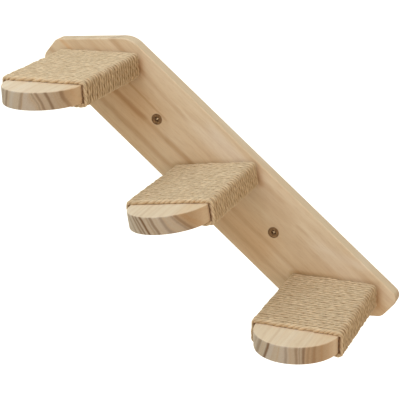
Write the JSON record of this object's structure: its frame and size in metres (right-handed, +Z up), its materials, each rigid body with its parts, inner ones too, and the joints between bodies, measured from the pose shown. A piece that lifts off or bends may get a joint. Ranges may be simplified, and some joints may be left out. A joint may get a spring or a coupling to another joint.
{
  "type": "wall-mounted cat ladder",
  "caption": "Cat ladder for a wall: a sloping wooden back plank carrying round-nosed wooden steps wrapped in rope, held by countersunk screws.",
  "frame": {"origin": "centre of the back plank's rear face, halfway along the plank and across it, in the plane of the wall", "axes": "+Z up, +Y into the wall along the wall screws, +X along the wall towards the ladder's lower end"},
  "size_m": [0.4202, 0.2449, 0.3316],
  "materials": {
    "plank_wood": "satin",
    "step_wood": "satin",
    "rope": "matte",
    "zinc_screw": "satin",
    "bronze_screw": "satin"
  },
  "bodies": {
    "root": {"back_plank": "plank_wood", "step_board_top": "step_wood", "step_board_middle": "step_wood", "step_board_bottom": "step_wood", "rope_wrap_top": "rope", "rope_wrap_middle": "rope", "rope_wrap_bottom": "rope", "step_screw_top_left": "zinc_screw", "step_screw_top_right": "zinc_screw", "step_screw_middle_left": "zinc_screw", "step_screw_middle_right": "zinc_screw", "step_screw_bottom_left": "zinc_screw", "step_screw_bottom_right": "zinc_screw", "wall_screw_upper": "bronze_screw", "wall_screw_lower": "bronze_screw"}
  },
  "joints": []
}
